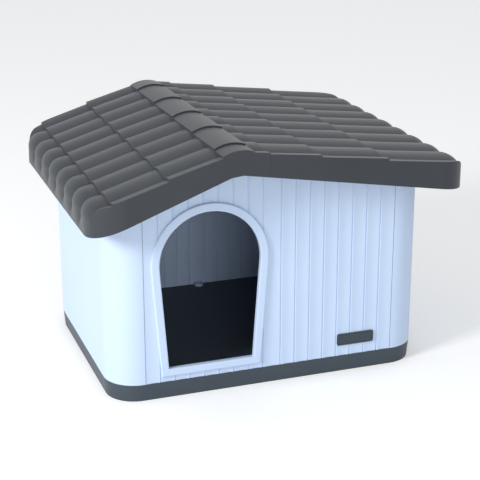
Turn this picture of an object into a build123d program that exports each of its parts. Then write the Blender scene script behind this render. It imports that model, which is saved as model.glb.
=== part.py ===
"""Moulded cat house: a grey base tray, pale ribbed walls bolted at four seams, and a tiled roof that lifts off.

Millimetres. The origin is the centre of the base's underside, on the floor. X runs to the right of the
front, Y runs from the front to the back, and Z is up.
"""

import os
from math import acos, atan2, cos, hypot, radians, sin

from build123d import *

os.makedirs("parts", exist_ok=True)

# Base tray: it widens from the floor up to the walls' outer faces
base_width = 513.7
base_depth = 381.8
base_corner = 48.2
base_height = 28.0
base_skin = 4.0
base_rim = 6.5
rib_thick = 3.0
pad_radius = 22.0

# Walls: two ribbed panels, and two side panels that wrap round the corners to the seams
wall_half_x = 259.5
wall_half_y = 193.5
wall_corner = 51.0
wall_thick = 3.0
seam_x = 205.3
seam_gap = 0.1
rib_pitch = 23.8
middle_strip = 29.8
groove_half = 1.5
groove_deep = 1.6
flute_deep = 0.8
flange_deep = 18.0
flange_thick = 3.0
wall_height = 360.0
side_seat_left = 328.0
side_seat_right = 344.2
gable_points = [
    (-260.0, side_seat_left),
    (-256.0, side_seat_left),
    (-100.0, 382.4),
    (-88.0, 383.4),
    (256.0, side_seat_right),
    (260.0, side_seat_right),
]

# Doorway: a round arch over sides that draw in towards the sill, with a raised smooth frame
door_x = -100.0
arch_z = 215.5
arch_radius = 80.5
sill_z = 50.0
sill_half = 68.8
frame_width = 13.3
frame_foot_z = 37.5
frame_foot_half = 80.5
frame_proud = 4.0
frame_behind = 1.0
frame_round = 2.0

# Name plate, bare
plate_left = 111.5
plate_right = 174.7
plate_low = 46.0
plate_high = 65.5
plate_thick = 2.4
plate_corner = 3.5
peg_radius = 2.5
peg_gap = 0.2
peg_places = [120.5, 165.5]

# Fixings
bolt_radius = 2.5
bolt_hole = 2.75
bolt_heights = [70.0, 170.0, 270.0]
bolt_inset = 12.0
bolt_head = 6.0
bolt_head_thick = 3.0
nut_hub = 5.5
nut_wings = 24.0
nut_deep = 7.0
screw_radius = 1.8
screw_pilot = 1.9
screw_clear = 2.2
screw_length = 16.0
screw_head = 4.2
lug_thick = 4.0
lug_radius = 8.0
lug_inset = 9.0
front_lugs = [-150.0, 0.0, 150.0]
side_lugs = [-90.0, 90.0]

# Roof outline in plan, and the bottom line of its skirt
roof_left_x = -294.6
roof_right_x = 305.9
roof_half_y = 254.6
roof_corner = 52.0
skirt_left_z = 283.7
skirt_right_z = 302.3
skirt_apex = (-77.0, 365.7)
roof_seam_x = -27.5
roof_seam_gap = 0.2
shell = 3.0

# Tiles: rounded rows run down the slope, and each course ends in a step over the next one
row_pitch = 56.58
row_rise = 5.5
row_count = 10
eave_radius = 24.0
left_low = ((-294.6, 330.5), (-262.0, 337.0))
left_middle = ((-262.0, 340.7), (-180.0, 365.8))
left_high = ((-180.0, 369.8), (-97.0, 393.0))
stub = ((-53.0, 397.4), (-27.5, 394.5))
right_high = ((-27.3, 392.4), (54.3, 383.2))
right_middle = ((54.3, 380.3), (163.0, 368.0))
right_low = ((163.0, 364.5), (305.9, 348.3))
step_shift = 3.5
eave_thick = 18.0
rib_inner_y = 185.4

# Ridge tiles: each one's raised front edge laps over the tile in front of it
cap_left = (-99.0, 394.0)
cap_crown = (-76.0, 401.0)
cap_right = (-51.0, 397.6)
cap_fronts = [-254.6, -213.5, -107.5, -2.5, 102.5, 207.5]
cap_lift = 2.4
cap_low = 384.0
ridge_under = 386.0
tongue_left = -70.0
tongue_gap = 0.3
tongue_screws = [-200.0, -70.0, 70.0, 200.0]
tongue_screw_x = -61.0


def line_z(course, x):
    """Height of a course's crest line at x."""
    (x0, z0), (x1, z1) = course
    return z0 + (z1 - z0) * (x - x0) / (x1 - x0)


def slab(points, half_depth):
    """The outline of (x, z) points, extruded evenly to the front and the back."""
    with BuildPart() as piece:
        with BuildSketch(Plane.XZ):
            with BuildLine():
                Polyline(*points, close=True)
            make_face()
        extrude(amount=half_depth, both=True)
    return piece.part


def under_gable():
    """The space between the base and the sloping line that the walls' tops follow."""
    low = [(gable_points[-1][0], base_height), (gable_points[0][0], base_height)]
    return slab(gable_points + low, wall_half_y + 10)


def groove_places():
    """The x of each groove between two strips, from the left seam to the right one."""
    half = [middle_strip / 2 + i * rib_pitch for i in range(9)]
    return sorted([-x for x in half] + half)


def ribbed_profile(outer, inward):
    """A sheet of shallow flutes parted by V grooves, drawn in plan and pressed through to its back."""
    places = groove_places()
    places[0] = -seam_x + seam_gap
    places[-1] = seam_x - seam_gap
    with BuildSketch() as profile:
        with BuildLine():
            for face in (outer, outer + inward * wall_thick):
                for left, right in zip(places[:-1], places[1:]):
                    start = left + (groove_half if left > places[0] else 0)
                    end = right - (groove_half if right < places[-1] else 0)
                    middle = ((start + end) / 2, face + inward * flute_deep)
                    ThreePointArc((start, face), middle, (end, face))
                    if right < places[-1]:
                        bottom = (right, face + inward * groove_deep)
                        Polyline((end, face), bottom, (right + groove_half, face))
            for end in (places[0], places[-1]):
                Line((end, outer), (end, outer + inward * wall_thick))
        make_face()
    return profile.sketch


def seam_flange(near, far, inner, inward):
    """A flange between two x places that stands in from a wall's inner face, the full height of the seam."""
    with BuildPart() as piece:
        with BuildSketch(Plane.XY.offset(base_height)):
            with Locations(((near + far) / 2, inner + inward * flange_deep / 2)):
                Rectangle(abs(far - near), flange_deep + 1)
        extrude(amount=wall_height)
    return piece.part


def bolt_holes(y):
    """Clearance holes along X through the flanges of the left and right seams."""
    with BuildPart() as piece:
        for sign in (-1, 1):
            with BuildSketch(Plane.YZ.offset(sign * seam_x)):
                with Locations(*[(y, z) for z in bolt_heights]):
                    Circle(bolt_hole)
            extrude(amount=flange_thick + 1, both=True)
    return piece.part


def screw_lug(x, y, out_x, out_y):
    """A round-ended foot at the bottom of a wall, with a clearance hole for its screw at (x, y)."""
    reach = lug_inset + 0.8
    with BuildPart() as piece:
        with BuildSketch(Plane.XY.offset(base_height)):
            with Locations((x, y)):
                Circle(lug_radius)
            with Locations((x + out_x * reach / 2, y + out_y * reach / 2)):
                if out_x:
                    Rectangle(reach, 2 * lug_radius)
                else:
                    Rectangle(2 * lug_radius, reach)
            with Locations((x, y)):
                Circle(screw_clear, mode=Mode.SUBTRACT)
        extrude(amount=lug_thick)
    return piece.part


def screw_places():
    """Where each wall's screws go down into the base, by wall name."""
    y = wall_half_y - wall_thick - lug_inset
    x = wall_half_x - wall_thick - lug_inset
    return {
        "front": [(place, -y) for place in front_lugs],
        "rear": [(place, y) for place in front_lugs],
        "left": [(-x, place) for place in side_lugs],
        "right": [(x, place) for place in side_lugs],
    }


# Base tray: a flared band round a flat floor, open underneath, with ribs, pads and screw bosses
with BuildPart() as base_tray:
    with BuildSketch():
        RectangleRounded(base_width, base_depth, base_corner)
    with BuildSketch(Plane.XY.offset(base_height)):
        RectangleRounded(2 * wall_half_x, 2 * wall_half_y, wall_corner)
    loft(ruled=True)
    with BuildSketch():
        RectangleRounded(base_width - 2 * base_rim, base_depth - 2 * base_rim, base_corner - base_rim)
    extrude(amount=base_height - base_skin, mode=Mode.SUBTRACT)
    with BuildSketch():
        for x in (-125, 0, 125):
            with Locations((x, 0)):
                Rectangle(rib_thick, base_depth - base_rim)
        for y in (-92, 0, 92):
            with Locations((0, y)):
                Rectangle(base_width - base_rim, rib_thick)
        Circle(pad_radius)
        with GridLocations(400, 270, 2, 2):
            Circle(pad_radius)
    extrude(amount=base_height - base_skin + 1)
    with BuildSketch(Plane.XY.offset(4)):
        for places in screw_places().values():
            with Locations(*places):
                Circle(6)
    extrude(amount=base_height - 5)
    with BuildSketch(Plane.XY.offset(base_height - screw_length)):
        for places in screw_places().values():
            with Locations(*places):
                Circle(screw_pilot)
    extrude(amount=screw_length, mode=Mode.SUBTRACT)
base_tray.part.label = "base_tray"
export_step(base_tray.part, "parts/base_tray.step")


def arch_outline(radius, foot_half, foot_z):
    """Doorway outline in (x, z): an arch over two sides, tangent to it, that draw in down to the foot."""
    drop = arch_z - foot_z
    turn = acos(radius / hypot(foot_half, drop)) - atan2(drop, foot_half)
    right = (door_x + radius * cos(turn), arch_z + radius * sin(turn))
    left = (2 * door_x - right[0], right[1])
    with BuildSketch() as outline:
        with BuildLine():
            ThreePointArc(right, (door_x, arch_z + radius), left)
            Polyline(left, (door_x - foot_half, foot_z), (door_x + foot_half, foot_z), right)
        make_face()
    return outline.sketch


# Doorway frame: a raised smooth band round the opening, moulded in one with the front wall
with BuildPart() as door_frame:
    with BuildSketch(Plane.XZ.offset(wall_half_y - wall_thick - frame_behind)):
        add(arch_outline(arch_radius + frame_width, frame_foot_half, frame_foot_z))
    extrude(amount=wall_thick + frame_behind + frame_proud)
    with BuildSketch(Plane.XZ.offset(wall_half_y - wall_thick - frame_behind)):
        add(arch_outline(arch_radius, sill_half, sill_z))
    extrude(amount=wall_thick + frame_behind + frame_proud, mode=Mode.SUBTRACT)
    fillet(door_frame.faces().sort_by(Axis.Y)[0].edges(), frame_round)

# Front wall: the ribbed panel with its seam flanges, feet, doorway and frame
inner_y = wall_half_y - wall_thick
panel_end = seam_x - seam_gap
with BuildPart() as front_wall:
    with BuildSketch(Plane.XY.offset(base_height)):
        add(ribbed_profile(-wall_half_y, 1))
    extrude(amount=wall_height)
    for sign in (-1, 1):
        add(seam_flange(sign * panel_end, sign * (panel_end - flange_thick), -inner_y, 1))
    add(under_gable(), mode=Mode.INTERSECT)
    add(door_frame.part)
    with BuildSketch(Plane.XZ.offset(wall_half_y - 20)):
        add(arch_outline(arch_radius, sill_half, sill_z))
    extrude(amount=40, mode=Mode.SUBTRACT)
    for place in screw_places()["front"]:
        add(screw_lug(place[0], place[1], 0, -1))
    add(bolt_holes(-inner_y + bolt_inset), mode=Mode.SUBTRACT)
    with BuildSketch(Plane.XZ.offset(wall_half_y - 10)):
        with Locations(*[(x, (plate_low + plate_high) / 2) for x in peg_places]):
            Circle(peg_radius + peg_gap)
    extrude(amount=20, mode=Mode.SUBTRACT)
front_wall.part.label = "front_wall"
export_step(front_wall.part, "parts/front_wall.step")

# Rear wall: the same ribbed panel without a doorway
with BuildPart() as rear_wall:
    with BuildSketch(Plane.XY.offset(base_height)):
        add(ribbed_profile(wall_half_y, -1))
    extrude(amount=wall_height)
    for sign in (-1, 1):
        add(seam_flange(sign * panel_end, sign * (panel_end - flange_thick), inner_y, -1))
    add(under_gable(), mode=Mode.INTERSECT)
    for place in screw_places()["rear"]:
        add(screw_lug(place[0], place[1], 0, 1))
    add(bolt_holes(inner_y - bolt_inset), mode=Mode.SUBTRACT)
rear_wall.part.label = "rear_wall"
export_step(rear_wall.part, "parts/rear_wall.step")


def side_line(sign, inset):
    """Plan line of a side panel, from its front seam round both corners to its rear seam."""
    x = sign * (wall_half_x - inset)
    y = wall_half_y - inset
    bend = sign * (wall_half_x - wall_corner)
    end = sign * (seam_x + seam_gap)
    slant = (wall_corner - inset) * sin(radians(45))
    turn_y = wall_half_y - wall_corner
    Line((end, -y), (bend, -y))
    ThreePointArc((bend, -y), (bend + sign * slant, -turn_y - slant), (x, -turn_y))
    Line((x, -turn_y), (x, turn_y))
    ThreePointArc((x, turn_y), (bend + sign * slant, turn_y + slant), (bend, y))
    Line((bend, y), (end, y))


def side_wall(sign, places):
    """A smooth side panel that wraps round both corners, with its flanges and feet."""
    end = sign * (seam_x + seam_gap)
    with BuildPart() as piece:
        with BuildSketch(Plane.XY.offset(base_height)):
            with BuildLine():
                side_line(sign, 0)
                side_line(sign, wall_thick)
                Line((end, -wall_half_y), (end, -inner_y))
                Line((end, wall_half_y), (end, inner_y))
            make_face()
        extrude(amount=wall_height)
        add(seam_flange(end, end + sign * flange_thick, -inner_y, 1))
        add(seam_flange(end, end + sign * flange_thick, inner_y, -1))
        add(under_gable(), mode=Mode.INTERSECT)
        for place in places:
            add(screw_lug(place[0], place[1], sign, 0))
        add(bolt_holes(-inner_y + bolt_inset), mode=Mode.SUBTRACT)
        add(bolt_holes(inner_y - bolt_inset), mode=Mode.SUBTRACT)
    return piece.part


# Left side wall
with BuildPart() as left_wall:
    add(side_wall(-1, screw_places()["left"]))
left_wall.part.label = "left_wall"
export_step(left_wall.part, "parts/left_wall.step")

# Right side wall
with BuildPart() as right_wall:
    add(side_wall(1, screw_places()["right"]))
right_wall.part.label = "right_wall"
export_step(right_wall.part, "parts/right_wall.step")

# Name plate: a bare plate with two pegs that pass through the front wall
plate_middle = ((plate_left + plate_right) / 2, (plate_low + plate_high) / 2)
with BuildPart() as nameplate:
    with BuildSketch(Plane.XZ.offset(wall_half_y)):
        with Locations(plate_middle):
            RectangleRounded(plate_right - plate_left, plate_high - plate_low, plate_corner)
    extrude(amount=plate_thick)
    fillet(nameplate.faces().sort_by(Axis.Y)[0].edges(), 0.7)
    with BuildSketch(Plane.XZ.offset(wall_half_y)):
        with Locations(*[(x, plate_middle[1]) for x in peg_places]):
            Circle(peg_radius)
    extrude(amount=-8)
nameplate.part.label = "nameplate"
export_step(nameplate.part, "parts/nameplate.step")

# Push-on clips that hold the plate's pegs behind the wall
with BuildPart() as nameplate_clips:
    with BuildSketch(Plane.XZ.offset(wall_half_y - wall_thick - flute_deep - 0.2)):
        with Locations(*[(x, plate_middle[1]) for x in peg_places]):
            Circle(6)
            Circle(peg_radius + 0.05, mode=Mode.SUBTRACT)
    extrude(amount=-1.4)
nameplate_clips.part.label = "nameplate_clips"
export_step(nameplate_clips.part, "parts/nameplate_clips.step")


# Bolts and wing nuts of the four corner seams
seams = {"front_left": (-1, -1), "front_right": (1, -1), "rear_left": (-1, 1), "rear_right": (1, 1)}
for seam, (side, end) in seams.items():
    seam_y = end * (inner_y - bolt_inset)
    head_face = side * (seam_x + seam_gap + flange_thick)
    nut_face = side * (panel_end - flange_thick)
    with BuildPart() as bolts:
        with BuildSketch(Plane.YZ.offset(head_face)):
            with Locations(*[(seam_y, z) for z in bolt_heights]):
                Circle(bolt_head)
        extrude(amount=side * bolt_head_thick)
        fillet(bolts.edges().filter_by(GeomType.CIRCLE).group_by(Axis.X)[-1 if side > 0 else 0], 1.5)
        with BuildSketch(Plane.YZ.offset(head_face)):
            with Locations(*[(seam_y, z) for z in bolt_heights]):
                Circle(bolt_radius)
        extrude(amount=-side * (2 * flange_thick + 10))
    bolts.part.label = "seam_bolts_" + seam
    export_step(bolts.part, "parts/seam_bolts_" + seam + ".step")
    with BuildPart() as nuts:
        with BuildSketch(Plane.YZ.offset(nut_face)):
            with Locations(*[(seam_y, z) for z in bolt_heights]):
                Circle(nut_hub)
                SlotOverall(nut_wings, 3.2, rotation=90)
        extrude(amount=-side * nut_deep)
        with BuildSketch(Plane.YZ.offset(nut_face)):
            with Locations(*[(seam_y, z) for z in bolt_heights]):
                Circle(bolt_radius + 0.05)
        extrude(amount=-side * nut_deep, mode=Mode.SUBTRACT)
    nuts.part.label = "wing_nuts_" + seam
    export_step(nuts.part, "parts/wing_nuts_" + seam + ".step")

# Screws that hold each wall's feet down on the base
for wall, places in screw_places().items():
    with BuildPart() as screws:
        with BuildSketch(Plane.XY.offset(base_height + lug_thick)):
            with Locations(*places):
                Circle(screw_head)
        extrude(amount=2.4)
        fillet(screws.edges().filter_by(GeomType.CIRCLE).group_by(Axis.Z)[-1], 1.2)
        with BuildSketch(Plane.XY.offset(base_height + lug_thick)):
            with Locations(*places):
                Circle(screw_radius)
        extrude(amount=-screw_length)
    screws.part.label = "base_screws_" + wall
    export_step(screws.part, "parts/base_screws_" + wall + ".step")


def barrel_profile(depth):
    """Rounded rows side by side, their crests at local y = 0, over a flat underside at -depth."""
    edge = row_pitch * row_count / 2
    with BuildSketch() as profile:
        with BuildLine():
            for row in range(row_count):
                start = row * row_pitch - edge
                middle = (start + row_pitch / 2, 0)
                ThreePointArc((start, -row_rise), middle, (start + row_pitch, -row_rise))
            Polyline((edge, -row_rise), (edge, -depth), (-edge, -depth), (-edge, -row_rise))
        make_face()
    return profile.sketch


def tile_course(course, drop=0.0, depth=9.5, start=None, end=None):
    """One course of tiles: the row profile pushed along the slope from its left end to its right end."""
    left = course[0][0] if start is None else start
    right = course[1][0] if end is None else end
    rise = line_z(course, right) - line_z(course, left)
    section = Plane(origin=(left, 0, line_z(course, left) - drop), x_dir=(0, 1, 0), z_dir=(1, 0, 0))
    with BuildPart() as piece:
        with BuildSketch(section):
            add(barrel_profile(depth))
        extrude(amount=hypot(right - left, rise), dir=(right - left, 0, rise))
    return piece.part


def eave_course(inner, outer, foot_z):
    """The lowest course: its rows roll over the eave and run down its face to the skirt's foot."""
    sign = 1 if outer[0] > inner[0] else -1
    slope = (outer[1] - inner[1]) / abs(outer[0] - inner[0])
    turn_z = outer[1] - eave_radius * (1 - slope) - 6
    with BuildPart() as piece:
        with BuildLine():
            FilletPolyline((inner[0], 0, inner[1]), (outer[0], 0, outer[1]), (outer[0], 0, turn_z), radius=eave_radius)
        with BuildSketch(Plane(origin=(inner[0], 0, inner[1]), x_dir=(0, sign, 0), z_dir=(sign, 0, slope))):
            add(barrel_profile(eave_thick))
        sweep()
        with BuildSketch(Plane(origin=(outer[0], 0, turn_z), x_dir=(0, sign, 0), z_dir=(0, 0, -1))):
            add(barrel_profile(eave_thick))
        extrude(amount=turn_z - foot_z)
    return piece.part


def plan_block(left, right, inset):
    """What lies inside the roof's rounded outline in plan, drawn in by inset, between two x places."""
    with BuildPart() as piece:
        with BuildSketch(Plane.XY.offset(260)):
            with Locations(((roof_left_x + roof_right_x) / 2, 0)):
                RectangleRounded(
                    roof_right_x - roof_left_x - 2 * inset, 2 * (roof_half_y - inset), roof_corner - inset
                )
            with Locations(((left + right) / 2, 0)):
                Rectangle(right - left, 3 * roof_half_y, mode=Mode.INTERSECT)
        extrude(amount=160)
    return piece.part


def below_skirt():
    """What lies under the skirt's bottom line: two straight slopes that meet in a soft apex."""
    left_slope = (skirt_apex[1] - skirt_left_z) / (skirt_apex[0] - roof_left_x)
    right_slope = (skirt_apex[1] - skirt_right_z) / (roof_right_x - skirt_apex[0])
    soft = 9.0
    beyond = 20.0
    points = [
        (roof_left_x - beyond, 200),
        (roof_left_x - beyond, skirt_left_z - beyond * left_slope),
        (skirt_apex[0] - soft, skirt_apex[1] - soft * left_slope),
        (skirt_apex[0] + soft, skirt_apex[1] - soft * right_slope),
        (roof_right_x + beyond, skirt_right_z - beyond * right_slope),
        (roof_right_x + beyond, 200),
    ]
    return slab(points, roof_half_y + beyond)


def wall_rib(points, side):
    """A rib under the roof, just inside the front (-1) or rear (1) wall, that keeps the roof from sliding."""
    with BuildPart() as piece:
        with BuildSketch(Plane.XZ.offset(-side * rib_inner_y)):
            with BuildLine():
                Polyline(*points, close=True)
            make_face()
        extrude(amount=-side * rib_thick)
    return piece.part


def seat_pad(x, y, z):
    """A pad under the roof that rests on the top of a side wall."""
    with BuildPart() as piece:
        with BuildSketch(Plane.XY.offset(z)):
            with Locations((x, y)):
                Rectangle(8, 36)
        extrude(amount=30)
    return piece.part


# Underside of each course, at the valleys: the crest line lowered by the row's rise and the shell
under = row_rise + shell

# Hollow under the left piece, with locating ribs and seat pads left standing in it
left_ceiling = [
    (-291.6, 260),
    (-289.3, skirt_left_z),
    (-286.1, 295),
    (-286.1, 310.8),
    (-281.6, 321.7),
    (-273.6, 325.9),
    (-262 + step_shift, line_z(left_low, -262 + step_shift) - under),
    (-262 + step_shift, line_z(left_middle, -262 + step_shift) - under),
    (-180 + step_shift, line_z(left_middle, -180 + step_shift) - under),
    (-180 + step_shift, line_z(left_high, -180 + step_shift) - under),
    (-100, line_z(left_high, -100) - under),
    (-95, ridge_under),
    (roof_seam_x + 5, ridge_under),
    (roof_seam_x + 5, 260),
]
left_rib = [(-190, 420), (-100, 420), (-100, 370), (-190, 339)]
with BuildPart() as left_hollow:
    add(slab(left_ceiling, roof_half_y))
    add(tile_course(left_middle, shell, 14, -262 + step_shift, -180 + step_shift))
    add(tile_course(left_high, shell, 14, -180 + step_shift, -103))
    add(plan_block(roof_left_x, roof_seam_x + 5, shell), mode=Mode.INTERSECT)
    for side in (-1, 1):
        add(wall_rib(left_rib, side), mode=Mode.SUBTRACT)
        add(seat_pad(-258, side * 2 * row_pitch, side_seat_left), mode=Mode.SUBTRACT)

# Left roof piece: the short steep slope, the ridge tiles and the short course beside the ridge
left_core = [
    (-282, 260),
    (-282, 322),
    (-262, line_z(left_low, -262) - 7),
    (-180, line_z(left_middle, -180) - 7),
    (-97, line_z(left_high, -97) - 7),
    (-54, 390),
    (roof_seam_x, line_z(stub, roof_seam_x) - 7),
    (roof_seam_x, 260),
]
with BuildPart() as roof_left:
    add(slab(left_core, row_pitch * row_count / 2))
    add(eave_course(left_low[1], left_low[0], skirt_left_z - 6))
    add(tile_course(left_middle))
    add(tile_course(left_high))
    add(tile_course(stub))
    for front, back in zip(cap_fronts, cap_fronts[1:] + [roof_half_y]):
        lift = cap_lift if front > cap_fronts[0] else cap_lift / 2
        for place, raised in ((front, lift), (back, 0)):
            left, crown, right = [(x, z + raised) for x, z in (cap_left, cap_crown, cap_right)]
            with BuildSketch(Plane.XZ.offset(-place)):
                with BuildLine():
                    ThreePointArc(left, crown, right)
                    Polyline(right, (right[0], cap_low), (left[0], cap_low), left)
                make_face()
        loft(ruled=True)
    add(plan_block(roof_left_x, roof_seam_x, 0), mode=Mode.INTERSECT)
    add(left_hollow.part, mode=Mode.SUBTRACT)
    add(below_skirt(), mode=Mode.SUBTRACT)
    with BuildSketch(Plane.XY.offset(ridge_under)):
        with Locations(*[(tongue_screw_x, y) for y in tongue_screws]):
            Circle(screw_pilot)
    extrude(amount=8.5, mode=Mode.SUBTRACT)
roof_left.part.label = "roof_left"
export_step(roof_left.part, "parts/roof_left.step")

# Hollow under the right piece, open below the tongue that reaches under the left piece
seam_right = roof_seam_x + roof_seam_gap
tongue_top = ridge_under - tongue_gap
tongue_low = tongue_top - shell
right_ceiling = [
    (seam_right - 5, 260),
    (seam_right - 5, tongue_low),
    (seam_right + shell, tongue_low),
    (seam_right + shell, line_z(right_high, seam_right + shell) - under),
    (54.3 - step_shift, line_z(right_high, 54.3 - step_shift) - under),
    (54.3 - step_shift, line_z(right_middle, 54.3 - step_shift) - under),
    (163 - step_shift, line_z(right_middle, 163 - step_shift) - under),
    (163 - step_shift, line_z(right_low, 163 - step_shift) - under),
    (283.6, line_z(right_low, 283.6) - under),
    (292.8, 337.8),
    (297.4, 326.9),
    (297.4, 313),
    (300.8, skirt_right_z),
    (302.9, 260),
]
right_rib = [(5, 420), (190, 420), (190, 338), (5, 361)]
with BuildPart() as right_hollow:
    add(slab(right_ceiling, roof_half_y))
    add(tile_course(right_high, shell, 14, seam_right + 6, 54.3 - step_shift))
    add(tile_course(right_middle, shell, 14, 54.3 - step_shift, 163 - step_shift))
    add(tile_course(right_low, shell, 14, 163 - step_shift, 272))
    add(plan_block(seam_right - 5, roof_right_x, shell), mode=Mode.INTERSECT)
    for side in (-1, 1):
        add(wall_rib(right_rib, side), mode=Mode.SUBTRACT)
        add(seat_pad(258, side * 2 * row_pitch, side_seat_right), mode=Mode.SUBTRACT)

# Right roof piece: the long shallow slope, with a tongue that slides under the ridge
right_core = [
    (seam_right, 260),
    (seam_right, line_z(right_high, seam_right) - 7),
    (54.3, line_z(right_high, 54.3) - 7),
    (163, line_z(right_middle, 163) - 7.5),
    (281, line_z(right_low, 281) - 7),
    (293, 334),
    (293, 260),
]
with BuildPart() as roof_right:
    add(slab(right_core, row_pitch * row_count / 2))
    add(tile_course(right_high))
    add(tile_course(right_middle))
    add(eave_course(right_low[0], right_low[1], skirt_right_z - 6))
    add(plan_block(seam_right, roof_right_x, 0), mode=Mode.INTERSECT)
    add(right_hollow.part, mode=Mode.SUBTRACT)
    add(below_skirt(), mode=Mode.SUBTRACT)
    with BuildSketch(Plane.XY.offset(tongue_top)):
        with Locations(((tongue_left + seam_right + 1) / 2, 0)):
            Rectangle(seam_right + 1 - tongue_left, 2 * (roof_half_y - shell) - 1)
        with Locations(*[(tongue_screw_x, y) for y in tongue_screws]):
            Circle(screw_clear, mode=Mode.SUBTRACT)
    extrude(amount=-shell)
roof_right.part.label = "roof_right"
export_step(roof_right.part, "parts/roof_right.step")

# Screws that clamp the tongue up under the ridge
with BuildPart() as roof_screws:
    with BuildSketch(Plane.XY.offset(tongue_low)):
        with Locations(*[(tongue_screw_x, y) for y in tongue_screws]):
            Circle(screw_head)
    extrude(amount=-2.4)
    fillet(roof_screws.edges().filter_by(GeomType.CIRCLE).group_by(Axis.Z)[0], 1.2)
    with BuildSketch(Plane.XY.offset(tongue_low)):
        with Locations(*[(tongue_screw_x, y) for y in tongue_screws]):
            Circle(screw_radius)
    extrude(amount=11)
roof_screws.part.label = "roof_screws"
export_step(roof_screws.part, "parts/roof_screws.step")
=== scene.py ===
"""Moulded cat house: grey base tray, pale ribbed walls, a bare name plate and a tiled roof that lifts off."""

import math

import bmesh
import bpy
from mathutils import Euler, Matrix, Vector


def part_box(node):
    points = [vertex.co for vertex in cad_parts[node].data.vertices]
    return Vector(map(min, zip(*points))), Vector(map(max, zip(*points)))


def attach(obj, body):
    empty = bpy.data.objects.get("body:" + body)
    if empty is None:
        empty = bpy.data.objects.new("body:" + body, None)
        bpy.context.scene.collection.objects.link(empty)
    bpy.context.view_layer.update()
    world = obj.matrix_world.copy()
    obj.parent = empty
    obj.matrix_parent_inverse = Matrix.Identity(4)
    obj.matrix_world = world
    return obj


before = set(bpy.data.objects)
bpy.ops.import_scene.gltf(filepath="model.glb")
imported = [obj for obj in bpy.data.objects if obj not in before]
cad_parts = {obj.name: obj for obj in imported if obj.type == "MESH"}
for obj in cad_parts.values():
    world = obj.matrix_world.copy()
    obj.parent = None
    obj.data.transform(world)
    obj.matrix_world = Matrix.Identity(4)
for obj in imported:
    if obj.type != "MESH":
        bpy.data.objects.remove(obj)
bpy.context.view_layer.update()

# Camera: a long lens to the front left, well above the ridge, looking down at the house.
camera_place = (-0.6769, -1.9514, 0.8934)
camera_tilt_down = 0.3347
camera_roll = 0.001
camera_turn_right = 0.3416
camera_data = bpy.data.cameras.new("camera")
camera_data.lens = 97.88
camera_data.sensor_width = 36.0
camera_data.sensor_fit = "HORIZONTAL"
camera = bpy.data.objects.new("camera", camera_data)
camera.location = camera_place
camera.rotation_euler = Euler((math.pi / 2 - camera_tilt_down, camera_roll, -camera_turn_right))
bpy.context.collection.objects.link(camera)
bpy.context.scene.camera = camera
bpy.context.scene.view_settings.view_transform = "Standard"

# Floor: a plain white sheet that runs far past the view. It shows white to the camera and in
# reflections, and keeps the soft shadow under the house.
floor_half = 15.0
floor_glow = 0.24
floor_mesh = bpy.data.meshes.new("floor")
floor_corners = [
    (-floor_half, -floor_half, 0),
    (floor_half, -floor_half, 0),
    (floor_half, floor_half, 0),
    (-floor_half, floor_half, 0),
]
floor_mesh.from_pydata(floor_corners, [], [(0, 1, 2, 3)])
floor = bpy.data.objects.new("floor", floor_mesh)
bpy.context.collection.objects.link(floor)
floor_paint = bpy.data.materials.new("floor_paint")
floor_paint.use_nodes = True
floor_shader = floor_paint.node_tree.nodes["Principled BSDF"]
floor_shader.inputs["Base Color"].default_value = (0.93, 0.93, 0.93, 1)
floor_shader.inputs["Roughness"].default_value = 0.9
floor_shader.inputs["Specular IOR Level"].default_value = 0.1
floor_nodes = floor_paint.node_tree.nodes
floor_links = floor_paint.node_tree.links
floor_path = floor_nodes.new("ShaderNodeLightPath")
floor_seen = floor_nodes.new("ShaderNodeMath")
floor_seen.operation = "MAXIMUM"
floor_lift = floor_nodes.new("ShaderNodeMath")
floor_lift.operation = "MULTIPLY"
floor_lift.inputs[1].default_value = floor_glow
floor_links.new(floor_path.outputs["Is Camera Ray"], floor_seen.inputs[0])
floor_links.new(floor_path.outputs["Is Glossy Ray"], floor_seen.inputs[1])
floor_links.new(floor_seen.outputs[0], floor_lift.inputs[0])
floor_shader.inputs["Emission Color"].default_value = (1, 1, 1, 1)
floor_links.new(floor_lift.outputs[0], floor_shader.inputs["Emission Strength"])
floor_mesh.materials.append(floor_paint)

# Studio light: a pale room all round, white where the camera and reflections see it, with one broad
# soft lamp high at the left and a low one in front that reaches in through the doorway.
room = bpy.data.worlds.new("room")
room.use_nodes = True
bpy.context.scene.world = room
room_nodes = room.node_tree.nodes
room_links = room.node_tree.links
room_nodes.clear()
room_light = room_nodes.new("ShaderNodeBackground")
room_light.inputs["Color"].default_value = (0.97, 0.985, 1.0, 1)
room_light.inputs["Strength"].default_value = 0.60
room_seen = room_nodes.new("ShaderNodeBackground")
room_seen.inputs["Color"].default_value = (1, 1, 1, 1)
room_seen.inputs["Strength"].default_value = 1.0
room_path = room_nodes.new("ShaderNodeLightPath")
room_direct = room_nodes.new("ShaderNodeMath")
room_direct.operation = "MAXIMUM"
room_any = room_nodes.new("ShaderNodeMath")
room_any.operation = "MAXIMUM"
room_mix = room_nodes.new("ShaderNodeMixShader")
room_out = room_nodes.new("ShaderNodeOutputWorld")
room_links.new(room_path.outputs["Is Camera Ray"], room_direct.inputs[0])
room_links.new(room_path.outputs["Is Glossy Ray"], room_direct.inputs[1])
room_links.new(room_direct.outputs[0], room_any.inputs[0])
room_links.new(room_path.outputs["Is Transmission Ray"], room_any.inputs[1])
room_links.new(room_any.outputs[0], room_mix.inputs[0])
room_links.new(room_light.outputs[0], room_mix.inputs[1])
room_links.new(room_seen.outputs[0], room_mix.inputs[2])
room_links.new(room_mix.outputs[0], room_out.inputs["Surface"])


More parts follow.
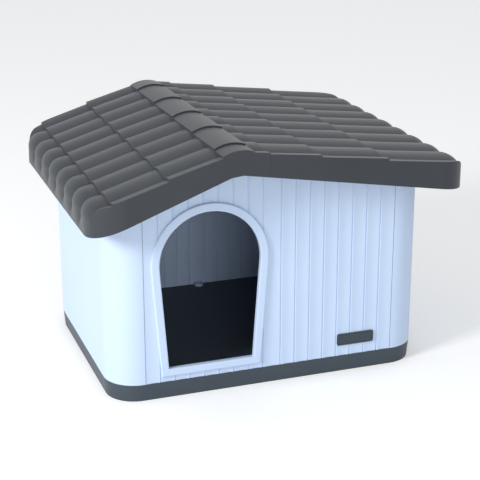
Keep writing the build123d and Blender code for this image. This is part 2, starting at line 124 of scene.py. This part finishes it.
def soft_lamp(name, place, target, size, watts):
    """A square lamp at place, facing target."""
    lamp_data = bpy.data.lights.new(name, "AREA")
    lamp_data.size = size
    lamp_data.energy = watts
    lamp = bpy.data.objects.new(name, lamp_data)
    lamp.location = place
    aim = [t - p for p, t in zip(place, target)]
    tilt = math.atan2(math.hypot(aim[0], aim[1]), -aim[2])
    lamp.rotation_euler = Euler((tilt, 0, math.atan2(aim[1], aim[0]) - math.pi / 2))
    bpy.context.collection.objects.link(lamp)


house_middle = (0, 0, 0.2)
soft_lamp("key_lamp", place=(-2.9, -1.25, 1.6), target=house_middle, size=0.8, watts=72)
soft_lamp("front_lamp", place=(-0.5, -2.9, 0.75), target=house_middle, size=1.0, watts=13)


def moulded_plastic(name, dark, light, roughness, grain):
    """Satin moulded plastic: cloudy colour between dark and light, and a fine spark-eroded grain."""
    roughness_swing = 0.06
    grain_height = 0.0004
    material = bpy.data.materials.new(name)
    material.use_nodes = True
    nodes = material.node_tree.nodes
    links = material.node_tree.links
    shader = nodes["Principled BSDF"]
    shader.inputs["IOR"].default_value = 1.49
    shader.inputs["Specular IOR Level"].default_value = 0.28
    where = nodes.new("ShaderNodeTexCoord")
    clouds = nodes.new("ShaderNodeTexNoise")
    clouds.inputs["Scale"].default_value = 9.0
    clouds.inputs["Detail"].default_value = 5.0
    tint = nodes.new("ShaderNodeMix")
    tint.data_type = "RGBA"
    tint.inputs["A"].default_value = (*dark, 1)
    tint.inputs["B"].default_value = (*light, 1)
    links.new(where.outputs["Object"], clouds.inputs["Vector"])
    links.new(clouds.outputs["Fac"], tint.inputs["Factor"])
    links.new(tint.outputs["Result"], shader.inputs["Base Color"])
    sheen = nodes.new("ShaderNodeMapRange")
    sheen.inputs["To Min"].default_value = roughness - roughness_swing
    sheen.inputs["To Max"].default_value = roughness + roughness_swing
    links.new(clouds.outputs["Fac"], sheen.inputs["Value"])
    links.new(sheen.outputs["Result"], shader.inputs["Roughness"])
    pits = nodes.new("ShaderNodeTexNoise")
    pits.inputs["Scale"].default_value = 1400.0
    pits.inputs["Detail"].default_value = 2.0
    bump = nodes.new("ShaderNodeBump")
    bump.inputs["Strength"].default_value = grain
    bump.inputs["Distance"].default_value = grain_height
    links.new(where.outputs["Object"], pits.inputs["Vector"])
    links.new(pits.outputs["Fac"], bump.inputs["Height"])
    links.new(bump.outputs["Normal"], shader.inputs["Normal"])
    return material


def dress(node, material):
    """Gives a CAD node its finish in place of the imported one."""
    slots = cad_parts[node].material_slots
    for slot in slots:
        slot.material = material
    if not slots:
        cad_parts[node].data.materials.append(material)


# Base tray: one dark blue-grey injection moulding. The walls stand on it and are screwed down into it.
tray_plastic = moulded_plastic("tray_plastic", (0.048, 0.063, 0.080), (0.060, 0.077, 0.096), 0.46, 0.12)
dress("base_tray", tray_plastic)

# Walls: pale blue mouldings with a finely grained satin face. The ribbed front and rear panels and the
# smooth side panels that wrap round the corners are bolted together at four seams.
wall_plastic = moulded_plastic("wall_plastic", (0.55, 0.68, 0.90), (0.59, 0.72, 0.92), 0.45, 0.15)
for wall in ("front_wall", "rear_wall", "left_wall", "right_wall"):
    dress(wall, wall_plastic)


def closed_mesh(name, sections):
    """A piece from equal rings of points, joined one to the next and closed at both ends."""
    count = len(sections[0])
    last = (len(sections) - 1) * count
    points = [point for section in sections for point in section]
    faces = []
    for low in range(0, last, count):
        high = low + count
        for i in range(count):
            j = (i + 1) % count
            faces.append((low + i, low + j, high + j, high + i))
    faces.append(tuple(reversed(range(count))))
    faces.append(tuple(last + i for i in range(count)))
    mesh = bpy.data.meshes.new(name)
    mesh.from_pydata(points, [], faces)
    shape = bmesh.new()
    shape.from_mesh(mesh)
    bmesh.ops.recalc_face_normals(shape, faces=shape.faces)
    shape.to_mesh(mesh)
    shape.free()
    piece = bpy.data.objects.new(name, mesh)
    bpy.context.collection.objects.link(piece)
    return piece


# Seam shade strips (painted shade): a thin dark strip sits flush with the walls in each of the four seams
# between a ribbed panel and a side panel, standing in for the shadow in the seam's narrow gap. Each runs from
# the base to just under the wall's top.
# The strips' dark plastic is painted shade for the seam gaps, not a colour of the walls.
shade_strip_plastic = moulded_plastic("shade_strip_plastic", (0.10, 0.14, 0.22), (0.13, 0.17, 0.26), 0.5, 0.1)
shade_strip_half = 0.00035
shade_strip_deep = 0.001
shade_strip_proud = 0.00006
shade_strip_lift = 0.0001
seam_x = 0.2053
wall_face_y = 0.1935
wall_sides = {"front_wall": -1, "rear_wall": 1}
seam_tops = {-1: 0.3452, 1: 0.3494}
for wall, facing in wall_sides.items():
    wall_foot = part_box(wall)[0][2]
    outer_y = facing * (wall_face_y + shade_strip_proud)
    inner_y = facing * (wall_face_y - shade_strip_deep)
    for side, top in seam_tops.items():
        left_x = side * seam_x - shade_strip_half
        right_x = side * seam_x + shade_strip_half
        outline = [(left_x, outer_y), (right_x, outer_y), (right_x, inner_y), (left_x, inner_y)]
        ends = [[(x, y, z) for x, y in outline] for z in (wall_foot + shade_strip_lift, top)]
        shade_strip_name = "seam_shade_strip_" + wall.split("_")[0] + ("_left" if side < 0 else "_right")
        shade_strip = closed_mesh(shade_strip_name, ends)
        shade_strip.data.materials.append(shade_strip_plastic)
        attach(shade_strip, "house")

# Name plate: a small bare plate in the base's plastic, held by two pegs and steel push-on clips.
plate_plastic = moulded_plastic("plate_plastic", (0.040, 0.055, 0.068), (0.052, 0.069, 0.084), 0.42, 0.1)
dress("nameplate", plate_plastic)

# Plate rim: a fine raised border moulded on the bare plate's face, just inside its edge. It is a rounded
# rectangle swept with a small flat profile, and turned from lying flat to standing on the front wall.
plate_low, plate_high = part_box("nameplate")
rim_inset = 0.0017
rim_sizes = {
    "Width": plate_high[0] - plate_low[0] - 2 * rim_inset,
    "Height": plate_high[2] - plate_low[2] - 2 * rim_inset,
    "Corner": 0.002,
    "Band": 0.0009,
    "Thickness": 0.0008,
}
rim_tree = bpy.data.node_groups.new("plate_rim", "GeometryNodeTree")
rim_sockets = {}
for size_name in rim_sizes:
    rim_sockets[size_name] = rim_tree.interface.new_socket(
        name=size_name, in_out="INPUT", socket_type="NodeSocketFloat"
    ).identifier
rim_tree.interface.new_socket(name="Geometry", in_out="OUTPUT", socket_type="NodeSocketGeometry")
rim_nodes = rim_tree.nodes
rim_links = rim_tree.links
rim_in = rim_nodes.new("NodeGroupInput")
rim_out = rim_nodes.new("NodeGroupOutput")
rim_path = rim_nodes.new("GeometryNodeCurvePrimitiveQuadrilateral")
rim_links.new(rim_in.outputs["Width"], rim_path.inputs["Width"])
rim_links.new(rim_in.outputs["Height"], rim_path.inputs["Height"])
rim_round = rim_nodes.new("GeometryNodeFilletCurve")
rim_round.mode = "POLY"
rim_round.inputs["Count"].default_value = 6
rim_links.new(rim_path.outputs["Curve"], rim_round.inputs["Curve"])
rim_links.new(rim_in.outputs["Corner"], rim_round.inputs["Radius"])
rim_profile = rim_nodes.new("GeometryNodeCurvePrimitiveQuadrilateral")
rim_links.new(rim_in.outputs["Band"], rim_profile.inputs["Width"])
rim_links.new(rim_in.outputs["Thickness"], rim_profile.inputs["Height"])
rim_sweep = rim_nodes.new("GeometryNodeCurveToMesh")
rim_links.new(rim_round.outputs["Curve"], rim_sweep.inputs["Curve"])
rim_links.new(rim_profile.outputs["Curve"], rim_sweep.inputs["Profile Curve"])
rim_stand = rim_nodes.new("GeometryNodeTransform")
rim_stand.inputs["Rotation"].default_value = (math.pi / 2, 0, 0)
rim_stand.inputs["Translation"].default_value = (
    (plate_low[0] + plate_high[0]) / 2,
    plate_low[1],
    (plate_low[2] + plate_high[2]) / 2,
)
rim_links.new(rim_sweep.outputs["Mesh"], rim_stand.inputs["Geometry"])
rim_real = rim_nodes.new("GeometryNodeRealizeInstances")
rim_links.new(rim_stand.outputs["Geometry"], rim_real.inputs["Geometry"])
rim_finish = rim_nodes.new("GeometryNodeSetMaterial")
rim_finish.inputs["Material"].default_value = plate_plastic
rim_links.new(rim_real.outputs["Geometry"], rim_finish.inputs["Geometry"])
rim_links.new(rim_finish.outputs["Geometry"], rim_out.inputs["Geometry"])
rim_maker = bpy.data.objects.new("rim_maker", bpy.data.meshes.new("rim_maker"))
bpy.context.collection.objects.link(rim_maker)
rim_modifier = rim_maker.modifiers.new("rim", "NODES")
rim_modifier.node_group = rim_tree
for size_name, size in rim_sizes.items():
    rim_modifier[rim_sockets[size_name]] = size
rim_made = rim_maker.evaluated_get(bpy.context.evaluated_depsgraph_get())
rim_mesh = bpy.data.meshes.new_from_object(rim_made)
bpy.data.objects.remove(rim_maker)
rim = bpy.data.objects.new("plate_rim", rim_mesh)
bpy.context.collection.objects.link(rim)
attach(rim, "house")


def plated_steel(name):
    """Zinc-plated steel, faintly brushed."""
    material = bpy.data.materials.new(name)
    material.use_nodes = True
    nodes = material.node_tree.nodes
    links = material.node_tree.links
    shader = nodes["Principled BSDF"]
    shader.inputs["Metallic"].default_value = 1.0
    where = nodes.new("ShaderNodeTexCoord")
    stretch = nodes.new("ShaderNodeMapping")
    stretch.inputs["Scale"].default_value = (1.0, 1.0, 12.0)
    brushing = nodes.new("ShaderNodeTexNoise")
    brushing.inputs["Scale"].default_value = 300.0
    tint = nodes.new("ShaderNodeMix")
    tint.data_type = "RGBA"
    tint.inputs["A"].default_value = (0.50, 0.51, 0.53, 1)
    tint.inputs["B"].default_value = (0.62, 0.63, 0.64, 1)
    rough = nodes.new("ShaderNodeMapRange")
    rough.inputs["To Min"].default_value = 0.25
    rough.inputs["To Max"].default_value = 0.4
    links.new(where.outputs["Object"], stretch.inputs["Vector"])
    links.new(stretch.outputs["Vector"], brushing.inputs["Vector"])
    links.new(brushing.outputs["Fac"], tint.inputs["Factor"])
    links.new(brushing.outputs["Fac"], rough.inputs["Value"])
    links.new(tint.outputs["Result"], shader.inputs["Base Color"])
    links.new(rough.outputs["Result"], shader.inputs["Roughness"])
    return material


# Screws and clips: zinc-plated steel. Seam bolts and wing nuts: dark moulded plastic, done up by hand.
screw_steel = plated_steel("screw_steel")
bolt_plastic = moulded_plastic("bolt_plastic", (0.045, 0.05, 0.06), (0.06, 0.065, 0.075), 0.4, 0.1)
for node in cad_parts:
    if "screws" in node or "clips" in node:
        dress(node, screw_steel)
    if "bolts" in node or "nuts" in node:
        dress(node, bolt_plastic)

# Roof: two dark grey mouldings that join beside the ridge. Rounded tile rows run down both slopes in
# stepped courses, roll over the eaves, and meet under a row of lapped ridge tiles.
roof_plastic = moulded_plastic("roof_plastic", (0.034, 0.039, 0.047), (0.048, 0.054, 0.064), 0.38, 0.2)
for piece in ("roof_left", "roof_right"):
    dress(piece, roof_plastic)

# Eave feet: along both eaves the hollows between the tile rows fade out on the face, so that the skirt ends
# in a straight lower edge. They are moulded in one with the roof; each is closed and set 0.05 mm under the
# crests, so that it shows only in the hollows.
row_pitch = 0.05658
row_radius = 0.0755
plan_corner = 0.052
roof_half_depth = 0.2546
left_eave_x = -0.2946
right_eave_x = 0.3059
sunk = 0.00005


def row_depth(y):
    """How far the tile rows' surface lies behind their crests at y."""
    off_crest = abs((y / row_pitch) % 1.0 - 0.5) * row_pitch
    return row_radius - math.sqrt(row_radius**2 - off_crest**2)


def corner_depth(y):
    """How far the roof's rounded corner draws the eave in at y."""
    past = abs(y) - (roof_half_depth - plan_corner)
    if past <= 0:
        return 0.0
    return plan_corner - math.sqrt(plan_corner**2 - past**2)


def eave_foot(name, edge_x, inward, low_z, slope, height):
    """The faded foot of one eave.

    edge_x is its crests' face, and slope the rise of the skirt's lower edge.
    """
    levels = 10
    span = 0.228
    steps = 228
    thickness = 0.0012
    sections = []
    for step in range(steps + 1):
        y = -span + 2 * span * step / steps
        foot = corner_depth(y) + sunk
        rows = max(row_depth(y) + sunk, foot)
        low = low_z + slope * foot
        ring = []
        for level in range(levels + 1):
            t = level / levels
            fade = t * t * (3 - 2 * t)
            x = edge_x + inward * (foot + (rows - foot) * fade)
            ring.append((x, y, low + (height - (low - low_z)) * t))
        back = edge_x + inward * (rows + thickness)
        ring.append((back, y, low_z + height))
        ring.append((back, y, low))
        sections.append(ring)
    foot_piece = closed_mesh(name, sections)
    foot_piece.data.materials.append(roof_plastic)
    for face in foot_piece.data.polygons:
        face.use_smooth = len(face.vertices) == 4
    foot_piece.data.set_sharp_from_angle(angle=math.radians(35))
    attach(foot_piece, "roof")


eave_foot("eave_foot_left", left_eave_x, inward=1, low_z=0.2837, slope=0.3769, height=0.024)
eave_foot("eave_foot_right", right_eave_x, inward=-1, low_z=0.3023, slope=0.1656, height=0.022)

# Course joints: under the lower end of the two upper left courses the moulding is solid right through to
# the front and rear faces. Each is a slim wedge that closes the joint there, in the roof's plastic.


def course_joint(name, start_x, end_x, low_line, high_line):
    """A wedge between two sloping lines, each given as its height at start_x and its slope."""
    overlap = 0.0003
    steps = 12
    sections = []
    for step in range(steps + 1):
        x = start_x + (end_x - start_x) * step / steps
        past = max(0.0, left_eave_x + plan_corner - x)
        half = roof_half_depth - plan_corner + math.sqrt(plan_corner**2 - past**2) - sunk
        low = low_line[0] + low_line[1] * (x - start_x) - overlap
        high = high_line[0] + high_line[1] * (x - start_x) + overlap
        sections.append([(x, -half, low), (x, half, low), (x, half, high), (x, -half, high)])
    joint_piece = closed_mesh(name, sections)
    joint_piece.data.materials.append(roof_plastic)
    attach(joint_piece, "roof")


course_joint("course_joint_low", -0.2619, -0.2340, (0.3300, 0.3512), (0.3312, 0.3061))
course_joint("course_joint_high", -0.1799, -0.1480, (0.3588, 0.3277), (0.3603, 0.2795))
